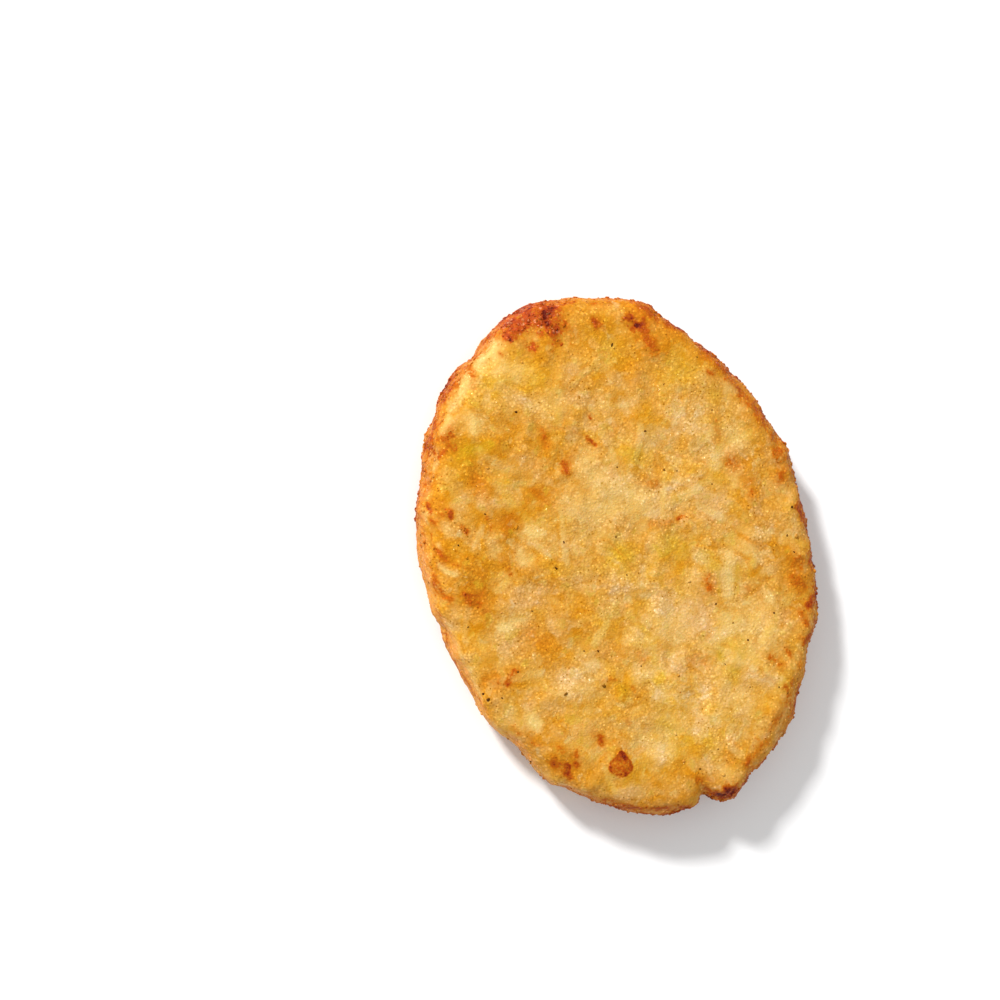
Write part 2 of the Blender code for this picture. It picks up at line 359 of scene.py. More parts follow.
# Broad patches of the shown face: (from x, from y, to x, to y) in the photograph, then width in mm,
# how much lighter it is, and how much more vivid its yellow is
PATCHES = (
    # browned head and the pale shoulder beside it, the shoulder partly a painted highlight
    (474, 366, 494, 348, 5.0, 1.4, -0.3),
    (456, 396, 468, 388, 4.0, 1.1, -0.3),
    (500, 360, 540, 372, 5.0, 0.3, 0.6),
    (510, 324, 556, 318, 6.0, -0.7, 0.0),
    (482, 396, 500, 384, 6.0, 0.6, 0.7),
    (500, 316, 556, 302, 4.5, -0.8, 0.0),
    (446, 392, 458, 374, 3.0, -0.6, 0.0),
    (506, 384, 518, 390, 7.0, 0.25, 0.0),
    (462, 374, 467, 386, 2.6, -0.7, 0.2),
    (496, 386, 524, 390, 7.0, 0.1, 0.6),
    # upper edge and upper right
    (600, 322, 604, 326, 4.0, -0.7, 0.0),
    (642, 322, 660, 344, 5.0, -1.0, 0.0),
    (672, 336, 712, 360, 4.0, -0.7, 0.0),
    (560, 385, 566, 395, 4.0, -0.4, 0.0),
    (640, 306, 664, 318, 4.5, -1.0, 0.0),
    (668, 322, 706, 350, 4.0, -0.9, 0.0),
    (708, 354, 738, 382, 4.0, -0.9, 0.0),
    (560, 304, 620, 304, 3.5, -0.6, 0.0),
    (606, 330, 622, 352, 5.0, -0.4, 0.0),
    (606, 318, 626, 322, 3.5, -0.5, 0.0),
    (716, 340, 738, 356, 4.0, -0.4, 0.0),
    (652, 318, 668, 328, 4.0, -0.7, -0.3),
    # left side
    (472, 428, 486, 412, 4.0, 0.7, -0.3),
    (475, 472, 488, 488, 4.0, -0.9, 0.0),
    (500, 520, 518, 532, 5.0, -1.0, 0.0),
    (470, 532, 496, 540, 5.0, -0.7, 0.3),
    (440, 508, 452, 518, 3.5, -0.7, 0.0),
    (448, 438, 456, 446, 4.0, -0.7, 0.3),
    (446, 556, 484, 572, 5.0, -0.7, 0.3),
    (466, 596, 484, 604, 5.0, -0.8, 0.0),
    (508, 558, 512, 568, 4.0, -0.5, 0.0),
    (460, 452, 470, 448, 4.0, -0.2, 0.9),
    (424, 490, 430, 512, 3.0, 0.6, -0.8),
    (448, 478, 470, 520, 5.0, 0.5, 0.0),
    (450, 535, 462, 560, 4.0, 0.4, 0.0),
    (506, 556, 526, 562, 9.0, -0.35, 0.2),
    (520, 506, 532, 496, 8.0, -0.30, 0.3),
    (442, 526, 454, 533, 3.0, -0.5, 0.2),
    (476, 448, 490, 446, 4.0, -0.5, 0.3),
    # middle
    (600, 500, 622, 488, 5.5, 0.6, -0.9),
    (654, 506, 668, 492, 4.0, 0.9, -0.6),
    (684, 424, 702, 420, 5.0, 0.6, -0.2),
    (646, 446, 700, 464, 6.0, 0.6, -0.3),
    (572, 516, 598, 512, 5.5, 0.5, -0.3),
    (578, 540, 588, 528, 4.0, 0.5, -0.2),
    (530, 530, 538, 532, 3.0, 0.6, 0.0),
    (541, 432, 546, 444, 4.0, -0.7, 0.0),
    (564, 462, 568, 472, 4.0, -0.7, 0.0),
    (542, 494, 548, 506, 4.5, -0.7, 0.0),
    (624, 450, 626, 444, 3.0, 0.0, 0.6),
    (619, 548, 621, 554, 4.5, 0.0, 0.9),
    (560, 466, 588, 460, 4.0, 0.0, -0.5),
    (652, 390, 660, 436, 4.0, 0.1, -0.6),
    (540, 596, 566, 620, 8.0, -0.1, -0.6),
    (640, 590, 668, 606, 6.0, 0.4, 0.0),
    (540, 492, 575, 486, 4.5, -0.6, 0.0),
    (586, 520, 602, 508, 8.0, -0.35, 0.0),
    (652, 574, 668, 580, 8.0, 0.40, 0.0),
    (574, 452, 586, 458, 4.5, -0.6, -0.1),
    (632, 520, 646, 528, 5.0, 0.5, 0.0),
    (572, 528, 580, 536, 5.0, 0.4, 0.0),
    (540, 500, 562, 498, 4.0, -0.5, 0.0),
    # right side
    (735, 434, 735, 446, 3.5, 0.2, 0.0),
    (712, 578, 712, 592, 4.0, -0.5, -0.3),
    (746, 478, 758, 498, 4.5, -0.8, 0.0),
    (718, 420, 720, 430, 4.0, -0.4, 0.0),
    (784, 560, 800, 600, 7.0, -0.8, 0.0),
    (760, 530, 775, 545, 5.0, -0.4, 0.0),
    (711, 560, 712, 568, 3.0, 0.0, 0.6),
    (704, 446, 716, 458, 4.0, 0.2, -0.5),
    (725, 575, 728, 590, 3.5, 0.3, -0.6),
    (750, 508, 754, 530, 5.0, 0.0, -0.5),
    (740, 386, 776, 440, 4.0, -0.7, 0.0),
    (804, 510, 812, 540, 4.0, 0.7, 0.3),
    (716, 400, 722, 440, 5.0, -0.2, 0.5),
    (750, 440, 764, 470, 6.0, -0.2, 0.5),
    (700, 506, 712, 504, 4.0, -0.5, 0.0),
    (762, 580, 768, 590, 4.0, -0.5, 0.0),
    (755, 524, 768, 534, 4.0, -0.5, 0.0),
    (720, 548, 730, 552, 8.0, -0.30, -0.2),
    (778, 544, 788, 552, 6.0, -0.35, 0.2),
    (762, 586, 770, 596, 4.5, -0.6, 0.0),
    (706, 536, 742, 512, 6.0, 0.0, -0.6),
    # lower left
    (526, 630, 548, 642, 5.0, -0.8, 0.0),
    (486, 676, 518, 680, 4.0, -0.6, 0.2),
    (530, 690, 552, 698, 5.0, -0.2, 0.6),
    (544, 750, 572, 768, 6.0, -0.8, 0.0),
    # these three lighten the lower left edge, which faces away from the key light: painted light
    (448, 612, 470, 668, 5.0, 0.8, 0.0),
    (474, 676, 512, 726, 5.0, 0.7, 0.0),
    (530, 756, 580, 790, 4.0, 0.6, 0.0),
    (531, 721, 537, 725, 2.6, 0.8, 0.0),
    (500, 626, 510, 627, 3.0, 0.5, 0.0),
    # lower middle and tail
    (642, 660, 668, 700, 6.0, 0.8, 0.2),
    (640, 738, 662, 752, 5.0, 0.8, 0.0),
    (572, 688, 600, 672, 5.0, 0.4, -0.3),
    (672, 632, 700, 624, 6.0, 0.2, -0.6),
    (563, 672, 568, 690, 5.0, 0.0, -0.4),
    (640, 796, 690, 796, 4.0, -0.5, 0.0),
    # lower right
    (700, 620, 764, 626, 7.0, 0.2, -0.3),
    (690, 640, 730, 650, 6.0, 0.4, 0.0),
    (722, 684, 738, 720, 7.0, 0.6, 0.1),
    (700, 776, 716, 780, 5.0, -0.7, -0.2),
    (770, 720, 790, 690, 6.0, -0.2, 1.0),
    (706, 740, 712, 750, 4.0, 0.5, 0.0),
    (780, 636, 788, 642, 6.0, -0.25, 0.2),
    (728, 668, 748, 684, 6.0, 0.6, -0.4),
    (692, 738, 716, 736, 6.0, 0.6, 0.0),
    (784, 690, 792, 716, 4.0, 0.6, 0.0),
)

# Specks of pepper: (x, y) in the photograph, then width in mm
PEPPER_MARKS = (
    (612, 345, 0.55), (516, 412, 0.50), (559, 452, 0.65), (645, 431, 0.50), (664, 384, 0.50),
    (617, 467, 0.45), (664, 470, 0.45), (677, 471, 0.35), (712, 410, 0.40), (792, 507, 0.55),
    (697, 357, 0.35), (458, 545, 0.50), (485, 514, 0.32), (483, 694, 0.95), (488, 700, 0.92),
    (502, 698, 0.30), (564, 542, 0.60), (556, 568, 0.58), (616, 537, 0.62), (566, 694, 0.52),
    (604, 686, 0.85), (598, 651, 0.36), (584, 651, 0.34), (532, 611, 0.30), (468, 627, 0.36),
    (625, 690, 0.45), (787, 535, 0.55), (794, 552, 0.45), (716, 604, 0.50), (774, 613, 0.46),
    (790, 600, 0.50), (748, 640, 0.58), (733, 623, 0.36), (725, 664, 0.32), (641, 666, 0.42),
    (750, 687, 0.42), (779, 687, 0.32), (788, 693, 0.42), (627, 575, 0.38), (700, 769, 0.50),
    (718, 749, 0.42), (518, 672, 0.50), (712, 484, 0.28),
)  # fmt: skip

# Marks and specks at random where the photograph doesn't look, and loose crumbs of crust
HIDDEN_BROWN_MARKS = 90
HIDDEN_PEPPER = 60
HIDDEN_PEPPER_WIDTH_MM = (0.35, 0.6)
CRUMBS = 1700
CRUMB_WIDTH_MM = (0.3, 0.85)

# How far the marks and the broad patches stray from their lines, and the size of those bends
MARK_STRAY = (0.45 * MM, 2.0 * MM)
PATCH_STRAY = (0.9 * MM, 4.0 * MM)

# Relief that the fine mesh adds, and how far it may rise above the solid's top
SUBDIVISIONS = 2
SHREDS = 420
SHRED_HALF_LENGTH_MM = (1.6, 5.5)
SHRED_RADIUS_MM = (0.7, 1.6)
SHRED_HEIGHT = 0.07 * MM
WOBBLE_SIZE = 1.0 * MM
WOBBLE_HEIGHT = 0.03 * MM
GRAIN_SIZE = 0.9 * MM
GRAIN_HEIGHT = 0.06 * MM
SIDE_GRAIN_HEIGHT = 0.20 * MM
CRAG_SIZE = 2.2 * MM
CRAG_HEIGHT = 0.18 * MM
KNOB_SIZE = 1.6 * MM
KNOB_HEIGHT = 0.30 * MM
HOLE_DEPTH = 0.25 * MM
MOST_ABOVE = 0.3 * MM

# How wide the rim of the face is, and in how many directions the outline is measured
RIM_WIDTH = 2.6 * MM
OUTLINE_STEPS = 360

# How toasted the rim is round the patty, partly painted shade on the side away from the key light:
# (angle from +X towards +Y in degrees, share)
RIM_TOASTING_AND_SHADE = (
    # lower left
    (-165, 0.20),
    (-140, 0.25),
    (-122, 0.40),
    # tail and right edge
    (-108, 0.80),
    (-90, 0.95),
    (-60, 0.75),
    (-45, 0.70),
    (-30, 0.90),
    (20, 0.85),
    (45, 0.85),
    # upper right and browned head
    (65, 0.75),
    (76, 0.50),
    (90, 0.60),
    (104, 0.50),
    (117, 0.62),
    # left edge
    (132, 0.66),
    (150, 0.40),
    (175, 0.20),
)

# Which way the face grows more golden, in half sizes of the patty
GOLDEN_TOWARDS = (-0.75, 0.45, 0.0)

# How far the floor reaches each way, and how far it is below the patty, so that they share no plane
FLOOR_REACH = 6.0
FLOOR_DROP = 0.02 * MM


def linear(colour):
    """An sRGB colour of 0 to 255 as linear RGBA."""
    return (*(((c / 255 + 0.055) / 1.055) ** 2.4 for c in colour), 1.0)


# ---- Camera, and the way from a pixel to the patty


def camera_matrix():
    """Looks at the photograph's angle, with the patty's middle at its place in the frame."""
    focal_px = LENS_MM / SENSOR_MM * FRAME_PX
    low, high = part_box(NODE)
    out = Vector((math.cos(TILT_TOWARDS), math.sin(TILT_TOWARDS), 0))
    back = (math.sin(TILT) * out + math.cos(TILT) * Vector((0, 0, 1))).normalized()
    along = (Vector((0, 1, 0)) - back.y * back).normalized()
    across = along.cross(back)
    right = math.cos(ROLL) * across - math.sin(ROLL) * along
    up = math.sin(ROLL) * across + math.cos(ROLL) * along
    facing = Matrix((right, up, back)).transposed()
    shown_at = Vector((PATTY_PX[0] - FRAME_PX / 2, FRAME_PX / 2 - PATTY_PX[1], -focal_px))
    facing = facing @ shown_at.rotation_difference(Vector((0, 0, -1))).to_matrix()
    place = (low + high) / 2 + back * focal_px / PX_PER_METRE
    return Matrix.Translation(place) @ facing.to_4x4()


def make_camera():
    """Makes the camera and has the scene use it."""
    data = bpy.data.cameras.new("camera")
    data.lens = LENS_MM
    data.sensor_width = SENSOR_MM
    data.clip_start = 10 * MM
    camera = bpy.data.objects.new("camera", data)
    camera.matrix_world = camera_matrix()
    bpy.context.scene.collection.objects.link(camera)
    bpy.context.scene.camera = camera


def pixel_finder():
    """A function that finds the patty's surface and its normal at a pixel of the photograph."""
    tree = BVHTree.FromObject(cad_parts[NODE], bpy.context.evaluated_depsgraph_get())
    view = camera_matrix()
    focal_px = LENS_MM / SENSOR_MM * FRAME_PX

    def find(x, y):
        ray = view.to_3x3() @ Vector((x - FRAME_PX / 2, FRAME_PX / 2 - y, -focal_px))
        place, normal, *_ = tree.ray_cast(view.translation, ray.normalized())
        if place is None:
            beside = view.translation + ray / PX_PER_METRE
            place, normal, *_ = tree.find_nearest(beside)
        return np.array(place), np.array(normal)

    return find


# ---- The fine mesh


def welded_solid():
    """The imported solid's points and triangles, with each point kept once."""
    mesh = bmesh.new()
    mesh.from_mesh(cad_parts[NODE].data)
    bmesh.ops.remove_doubles(mesh, verts=mesh.verts, dist=1e-6)
    bmesh.ops.triangulate(mesh, faces=mesh.faces)
    mesh.verts.index_update()
    points = np.array([vertex.co for vertex in mesh.verts])
    faces = np.array([[vertex.index for vertex in face.verts] for face in mesh.faces])
    mesh.free()
    return points, faces


def loop_subdivide(points, faces):
    """One round of Loop subdivision, which splits each triangle of a closed mesh in four."""
    sides = np.concatenate([faces[:, [0, 1]], faces[:, [1, 2]], faces[:, [2, 0]]])
    facing = np.concatenate([faces[:, 2], faces[:, 0], faces[:, 1]])
    edges, edge_of = np.unique(np.sort(sides, axis=1), axis=0, return_inverse=True)
    edge_of = edge_of.ravel()
    across = np.zeros((len(edges), 3))
    np.add.at(across, edge_of, points[facing])
    middles = (3 * (points[edges[:, 0]] + points[edges[:, 1]]) + across) / 8
    around = np.zeros_like(points)
    np.add.at(around, edges[:, 0], points[edges[:, 1]])
    np.add.at(around, edges[:, 1], points[edges[:, 0]])
    neighbours = np.bincount(edges.ravel(), minlength=len(points))[:, None]
    moved = points * 5 / 8 + around / neighbours * 3 / 8
    ab, bc, ca = len(points) + edge_of.reshape(3, -1)
    a, b, c = faces.T
    quarters = ((a, ab, ca), (ab, b, bc), (ca, bc, c), (ab, bc, ca))
    return np.concatenate([moved, middles]), np.concatenate([np.stack(q, 1) for q in quarters])


def point_normals(points, faces):
    """The unit normal at each point, weighted by the size of the triangles round it."""
    corners = points[faces]
    turned = np.cross(corners[:, 1] - corners[:, 0], corners[:, 2] - corners[:, 0])
    normals = np.zeros_like(points)
    for corner in range(3):
        np.add.at(normals, faces[:, corner], turned)
    return normals / np.linalg.norm(normals, axis=1)[:, None]


def soft_noise(points, size, octaves):
    """Noise of one lump size at each point, from about -1 to 1."""
    return np.array([noise.fractal(p, 0.7, 2.0, octaves) for p in (points / size).tolist()])


def noise_vectors(points, size):
    """A direction and length at random for each point, alike for points that are close."""
    return np.array([noise.noise_vector(p) for p in (points / size).tolist()])


def lumps(points, size):
    """Rounded grains of one size: 1 at the middle of each, falling to about 0 between them."""
    nearest = [noise.voronoi(p)[0][0] for p in (points / size).tolist()]
    return np.clip(1 - 1.3 * np.array(nearest), 0, 1)


def distance_to_line(points, start, end):
    """How far each point is from the line between two places."""
    line = end - start
    share = np.clip((points - start) @ line / max(line @ line, 1e-12), 0, 1)
    return np.linalg.norm(points - start - share[:, None] * line, axis=1)


def stroke(points, start, end, width, wobble):
    """1 along the line from start to end, fading unevenly, with a faint halo round it."""
    away = distance_to_line(points, start, end) * ((1 + 0.6 * wobble) / width)
    return 0.74 * np.exp(-((away / 0.48) ** 2)) + 0.26 * np.exp(-((away / 1.0) ** 2))


def blister(points, find):
    """How browned the leaf-shaped blister makes each point, most at its tip and its edge."""
    tip, foot = find(*BLISTER_TIP)[0], find(*BLISTER_FOOT)[0]
    length = np.linalg.norm(foot - tip)
    along = (foot - tip) / length
    share = np.clip((points - tip) @ along / length, 0, 1)
    away = np.linalg.norm(points - tip - (share * length)[:, None] * along, axis=1)
    beyond = away - BLISTER_WIDTH / 2 * np.sin(math.pi * share**1.4) ** 0.8
    inside = np.clip(0.5 - beyond / (0.4 * MM), 0, 1)
    edge = np.exp(-((beyond / (0.35 * MM)) ** 2))
    return inside * (0.55 + 0.35 * np.exp(-((share / 0.3) ** 2)) + 0.15 * edge)


def marked(points, marks, find, wobble):
    """The strongest of the marks at each point."""
    strength = np.zeros(len(points))
    for x0, y0, x1, y1, width_mm, amount in marks:
        start, end = find(x0, y0)[0], find(x1, y1)[0]
        strength = np.maximum(strength, amount * stroke(points, start, end, width_mm * MM, wobble))
    return strength


def patch_fields(points, find):
    """How much lighter and how much more vivid the broad patches make each point."""
    lighter = np.zeros(len(points))
    vivid = np.zeros(len(points))
    for x0, y0, x1, y1, width_mm, more_light, more_vivid in PATCHES:
        away = distance_to_line(points, find(x0, y0)[0], find(x1, y1)[0])
        here = np.exp(-((away / (width_mm / 2 * MM)) ** 2))
        lighter += more_light * here
        vivid += more_vivid * here
    return lighter, vivid


def hidden_marks(points, normals, wobble, draw):
    """Browned marks at random on the side and the underside that the photograph doesn't show."""
    strength = np.zeros(len(points))
    shown_from = np.array(camera_matrix().col[2][:3])
    unseen = np.flatnonzero(normals @ shown_from < 0.1)
    for _ in range(HIDDEN_BROWN_MARKS):
        start = points[draw.choice(unseen)]
        end = start + np.array([draw.uniform(-2, 2) * MM for _ in range(3)])
        width = draw.uniform(0.9, 4.0) * MM
        amount = draw.uniform(0.25, 0.85)
        strength = np.maximum(strength, amount * stroke(points, start, end, width, wobble))
    return strength


def shred_fields(points, normals, draw):
    """Shreds at random: cover on one, its lightness and its hue, and up to 1 along its sides."""
    cover = np.zeros(len(points))
    light = np.zeros(len(points))
    hue = np.zeros(len(points))
    total = np.full(len(points), 1e-9)
    beside = np.zeros(len(points))
    for _ in range(SHREDS):
        middle = draw.randrange(len(points))
        line = np.cross([draw.uniform(-1, 1) for _ in range(3)], normals[middle])
        line *= draw.uniform(*SHRED_HALF_LENGTH_MM) * MM / np.linalg.norm(line)
        radius = draw.uniform(*SHRED_RADIUS_MM) * MM
        offset = points - points[middle]
        share = np.clip(offset @ line / (line @ line), -1, 1)
        away = np.linalg.norm(offset - share[:, None] * line, axis=1) / radius
        here = np.clip(1.5 * (1 - away**2), 0, 1)
        light += draw.uniform(-1, 1) * here**4
        hue += draw.uniform(-1, 1) * here**4
        total += here**4
        cover = np.maximum(cover, here)
        beside = np.maximum(beside, draw.uniform(0, 1) * np.exp(-(((away - 1.15) / 0.35) ** 2)))
    return cover, light / total, hue / total, beside * (1 - cover)


def inset(points):
    """How far each point is inside the patty's outline, as seen from above."""
    turn = np.arctan2(points[:, 1], points[:, 0])
    radius = np.hypot(points[:, 0], points[:, 1])
    step = ((turn / math.tau + 0.5) * OUTLINE_STEPS).astype(int) % OUTLINE_STEPS
    edge = np.zeros(OUTLINE_STEPS)
    np.maximum.at(edge, step, radius)
    return edge[step] - radius


def place_fields(points, normals):
    """What follows from where a point is.

    These are how far in from the outline it is, whether it is on the side, how upright it is there,
    how near the rim it is, how toasted the rim is there with painted shade on the side away from
    the key light, and how golden the face is.
    """
    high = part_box(NODE)[1]
    inward = inset(points)
    facing = np.degrees(np.arctan2(points[:, 1], points[:, 0]))
    level = np.abs(normals[:, 2])
    # The side starts where the surface is less level than this, and is narrower at the lower left
    side_level = 0.60 - 0.15 * np.exp(-(((facing + 150) / 35) ** 2))
    side = np.clip((side_level - level) / 0.25, 0, 1)
    upright = np.clip((0.62 - level) / 0.35, 0, 1)
    rim = np.exp(-((inward / RIM_WIDTH) ** 2))
    angles, shares = zip(*RIM_TOASTING_AND_SHADE)
    toasting = np.interp(facing, angles, shares, period=360)
    reach = points / np.array((high.x, high.y, high.z))
    golden = np.clip(reach @ np.array(GOLDEN_TOWARDS), -0.35, 0.9)
    golden += 0.9 * np.exp(-inward / (6 * MM))
    golden -= 0.4 * np.exp(-((np.hypot(reach[:, 0], reach[:, 1]) / 0.35) ** 2))
    return inward, side, upright, rim, toasting, golden


def crust_fields(points, normals, find, draw):
    """The values at each point that the relief and the material read, by name."""
    inward, side, upright, rim, toasting, golden = place_fields(points, normals)
    wobble = soft_noise(points, WOBBLE_SIZE, 3)
    broad = soft_noise(points, 5 * MM, 3)
    strayed = points + MARK_STRAY[0] * noise_vectors(points, MARK_STRAY[1])
    drifted = points + PATCH_STRAY[0] * noise_vectors(points, PATCH_STRAY[1])

    pale = np.clip(1.3 * marked(strayed, PALE_MARKS, find, wobble) - 0.08, 0, 1)
    leafy = marked(strayed, LEAFY_MARKS, find, wobble)
    brown = marked(strayed, BROWN_MARKS, find, wobble)
    brown = np.maximum(brown, blister(points, find))
    brown = np.maximum(brown, hidden_marks(strayed, normals, wobble, draw))
    # The rim and the side brown in spots, and toasted stretches of them brown all over; this
    # darkening is partly painted shade on the side away from the key light
    edge = rim * np.clip(0.32 + 0.35 * broad + 0.35 * wobble, 0, 0.8)
    edge = np.maximum(edge, side * np.clip(0.12 + 0.40 * broad + 0.50 * wobble, 0, 0.7))
    brown = np.maximum(brown, toasting * edge * (1 - pale))
    # darker still where the side stands upright on those stretches: painted shade at the turn of
    # the rim
    brown += 0.12 * toasting * np.exp(-inward / (5 * MM)) + 0.25 * toasting**2 * upright
    # Light shreds are paler, and the crust browns along the sides of shreds
    cover, light, hue, beside = shred_fields(strayed, normals, draw)
    pale = np.maximum(pale, 0.35 * np.clip(cover * light - 0.3, 0, 1) * (1 - rim))
    brown = np.maximum(brown, 0.20 * beside * (1 - pale))

    # Grain is coarser on browned crust and smoother on pale shreds
    grit = 0.55 + 0.8 * broad - 0.35 * cover * light - 0.6 * pale + 0.8 * brown + 0.3 * rim
    grit -= 0.2 * side * (1 - toasting)
    lighter, vivid = patch_fields(drifted, find)
    head = find(*HEAD)[0]
    return {
        "brown": brown,
        "pale": pale,
        "leafy": leafy,
        "side": side,
        "golden": golden,
        "grit": grit,
        "light": cover**2 * light + 1.6 * lighter,
        "vivid": cover**2 * hue + 1.8 * vivid,
        "toasting": toasting,
        "rust": np.exp(-((np.linalg.norm(points - head, axis=1) / HEAD_RADIUS) ** 2)),
        "cover": cover,
        "wobble": wobble,
    }


def relief(points, fields):
    """How far the crust stands out at each point: shreds, grain, crags, knobs and burnt holes."""
    brown, toasting = fields["brown"], fields["toasting"]
    coarse = np.maximum(fields["side"], np.clip(brown - 0.3, 0, 1))
    uneven = np.maximum(toasting, np.clip(brown, 0, 0.7))
    grain_height = np.clip(fields["grit"], 0, 1) * GRAIN_HEIGHT
    grain_height += coarse * uneven * SIDE_GRAIN_HEIGHT
    height = SHRED_HEIGHT * fields["cover"] + WOBBLE_HEIGHT * fields["wobble"]
    height += lumps(points, GRAIN_SIZE) * grain_height
    height += coarse * CRAG_HEIGHT * soft_noise(points, CRAG_SIZE, 2)
    height += KNOB_HEIGHT * fields["rust"] * np.clip(brown, 0, 0.8) * lumps(points, KNOB_SIZE)
    height -= HOLE_DEPTH * np.clip(brown - 0.8, 0, 1) / 0.3
    return height


def crust_mesh(find):
    """The fine mesh with its relief, and its fields."""
    points, faces = welded_solid()
    for _ in range(SUBDIVISIONS):
        points, faces = loop_subdivide(points, faces)
    normals = point_normals(points, faces)
    noise.seed_set(SEED)  # without it, noise_vector starts from the clock
    fields = crust_fields(points, normals, find, random.Random(SEED))
    points = points + normals * relief(points, fields)[:, None]
    points[:, 2] = np.clip(points[:, 2], 0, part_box(NODE)[1].z + MOST_ABOVE)
    return points, faces, fields


def mesh_object(name, points, faces, fields, material):
    """A smooth object in the scene, with each field as an attribute of its points."""
    data = bpy.data.meshes.new(name)
    data.from_pydata(points.tolist(), [], faces.tolist())
    for field, values in fields.items():
        attribute = data.attributes.new(field, "FLOAT", "POINT")
        attribute.data.foreach_set("value", np.asarray(values, np.float32))
    data.shade_smooth()
    data.materials.append(material)
    made = bpy.data.objects.new(name, data)
    bpy.context.scene.collection.objects.link(made)
    return made


# ---- Small grains: crumbs of crust and specks of pepper


def grain_shape():
    """The points and triangles of a ball with few sides, one unit across."""
    mesh = bmesh.new()
    bmesh.ops.create_icosphere(mesh, subdivisions=1, radius=0.5)
    points = np.array([vertex.co for vertex in mesh.verts])
    faces = np.array([[vertex.index for vertex in face.verts] for face in mesh.faces])
    mesh.free()
    return points, faces


def joined_grains(places, draw):
    """One mesh of uneven grains, half sunk. Each place is (point, normal, width).

    Also gives the index of the place that each of its points belongs to.
    """
    shape, sides = grain_shape()
    points, faces = [], []
    for count, (place, normal, width) in enumerate(places):
        facing = Vector(normal).to_track_quat("Z", "Y").to_matrix()
        facing = np.array(facing @ Matrix.Rotation(draw.uniform(0, math.tau), 3, "Z"))
        size = [draw.uniform(0.8, 1.5), draw.uniform(0.6, 1.0), draw.uniform(0.5, 0.8)]
        size = width * np.array(size)
        uneven = 1 + np.array([draw.uniform(-0.35, 0.35) for _ in shape])
        points.append((shape * uneven[:, None] * size) @ facing.T + place)
        faces.append(sides + count * len(shape))
    owner = np.repeat(np.arange(len(places)), len(shape))
    return np.concatenate(points), np.concatenate(faces), owner


def crumbs_mesh(points, normals, fields, draw):
    """Crumbs at random, mostly where the crust is coarse, each with the crust's fields under it."""
    craggy = np.maximum(fields["side"], 2 * fields["rust"])
    likely = fields["toasting"] ** 2 * fields["side"]
    likely += 1.6 * craggy * np.clip(fields["brown"] - 0.45, 0, 1)
    likely += 0.0015
    likely[points[:, 2] < 0.6 * MM] = 0
    picked = np.array(draw.choices(range(len(points)), weights=likely.tolist(), k=CRUMBS))
    places = [(points[i], normals[i], draw.uniform(*CRUMB_WIDTH_MM) * MM) for i in picked]
    made, faces, owner = joined_grains(places, draw)
    under = {name: values[picked][owner] for name, values in fields.items()}
    under["tone"] = np.array([draw.uniform(-1, 1) for _ in places])[owner]
    return made, faces, under


def pepper_mesh(points, normals, find, draw):
    """The specks that the photograph shows, and others at random where it doesn't look."""
    places = [(*find(x, y), width * MM) for x, y, width in PEPPER_MARKS]
    unseen = np.flatnonzero((normals[:, 2] < 0.1) & (points[:, 2] > 0.5 * MM))
    for i in draw.choices(unseen.tolist(), k=HIDDEN_PEPPER):
        places.append((points[i], normals[i], draw.uniform(*HIDDEN_PEPPER_WIDTH_MM) * MM))
    made, faces, owner = joined_grains(places, draw)
    return made, faces, {"tone": np.array([draw.random() for _ in places])[owner]}


# ---- Materials


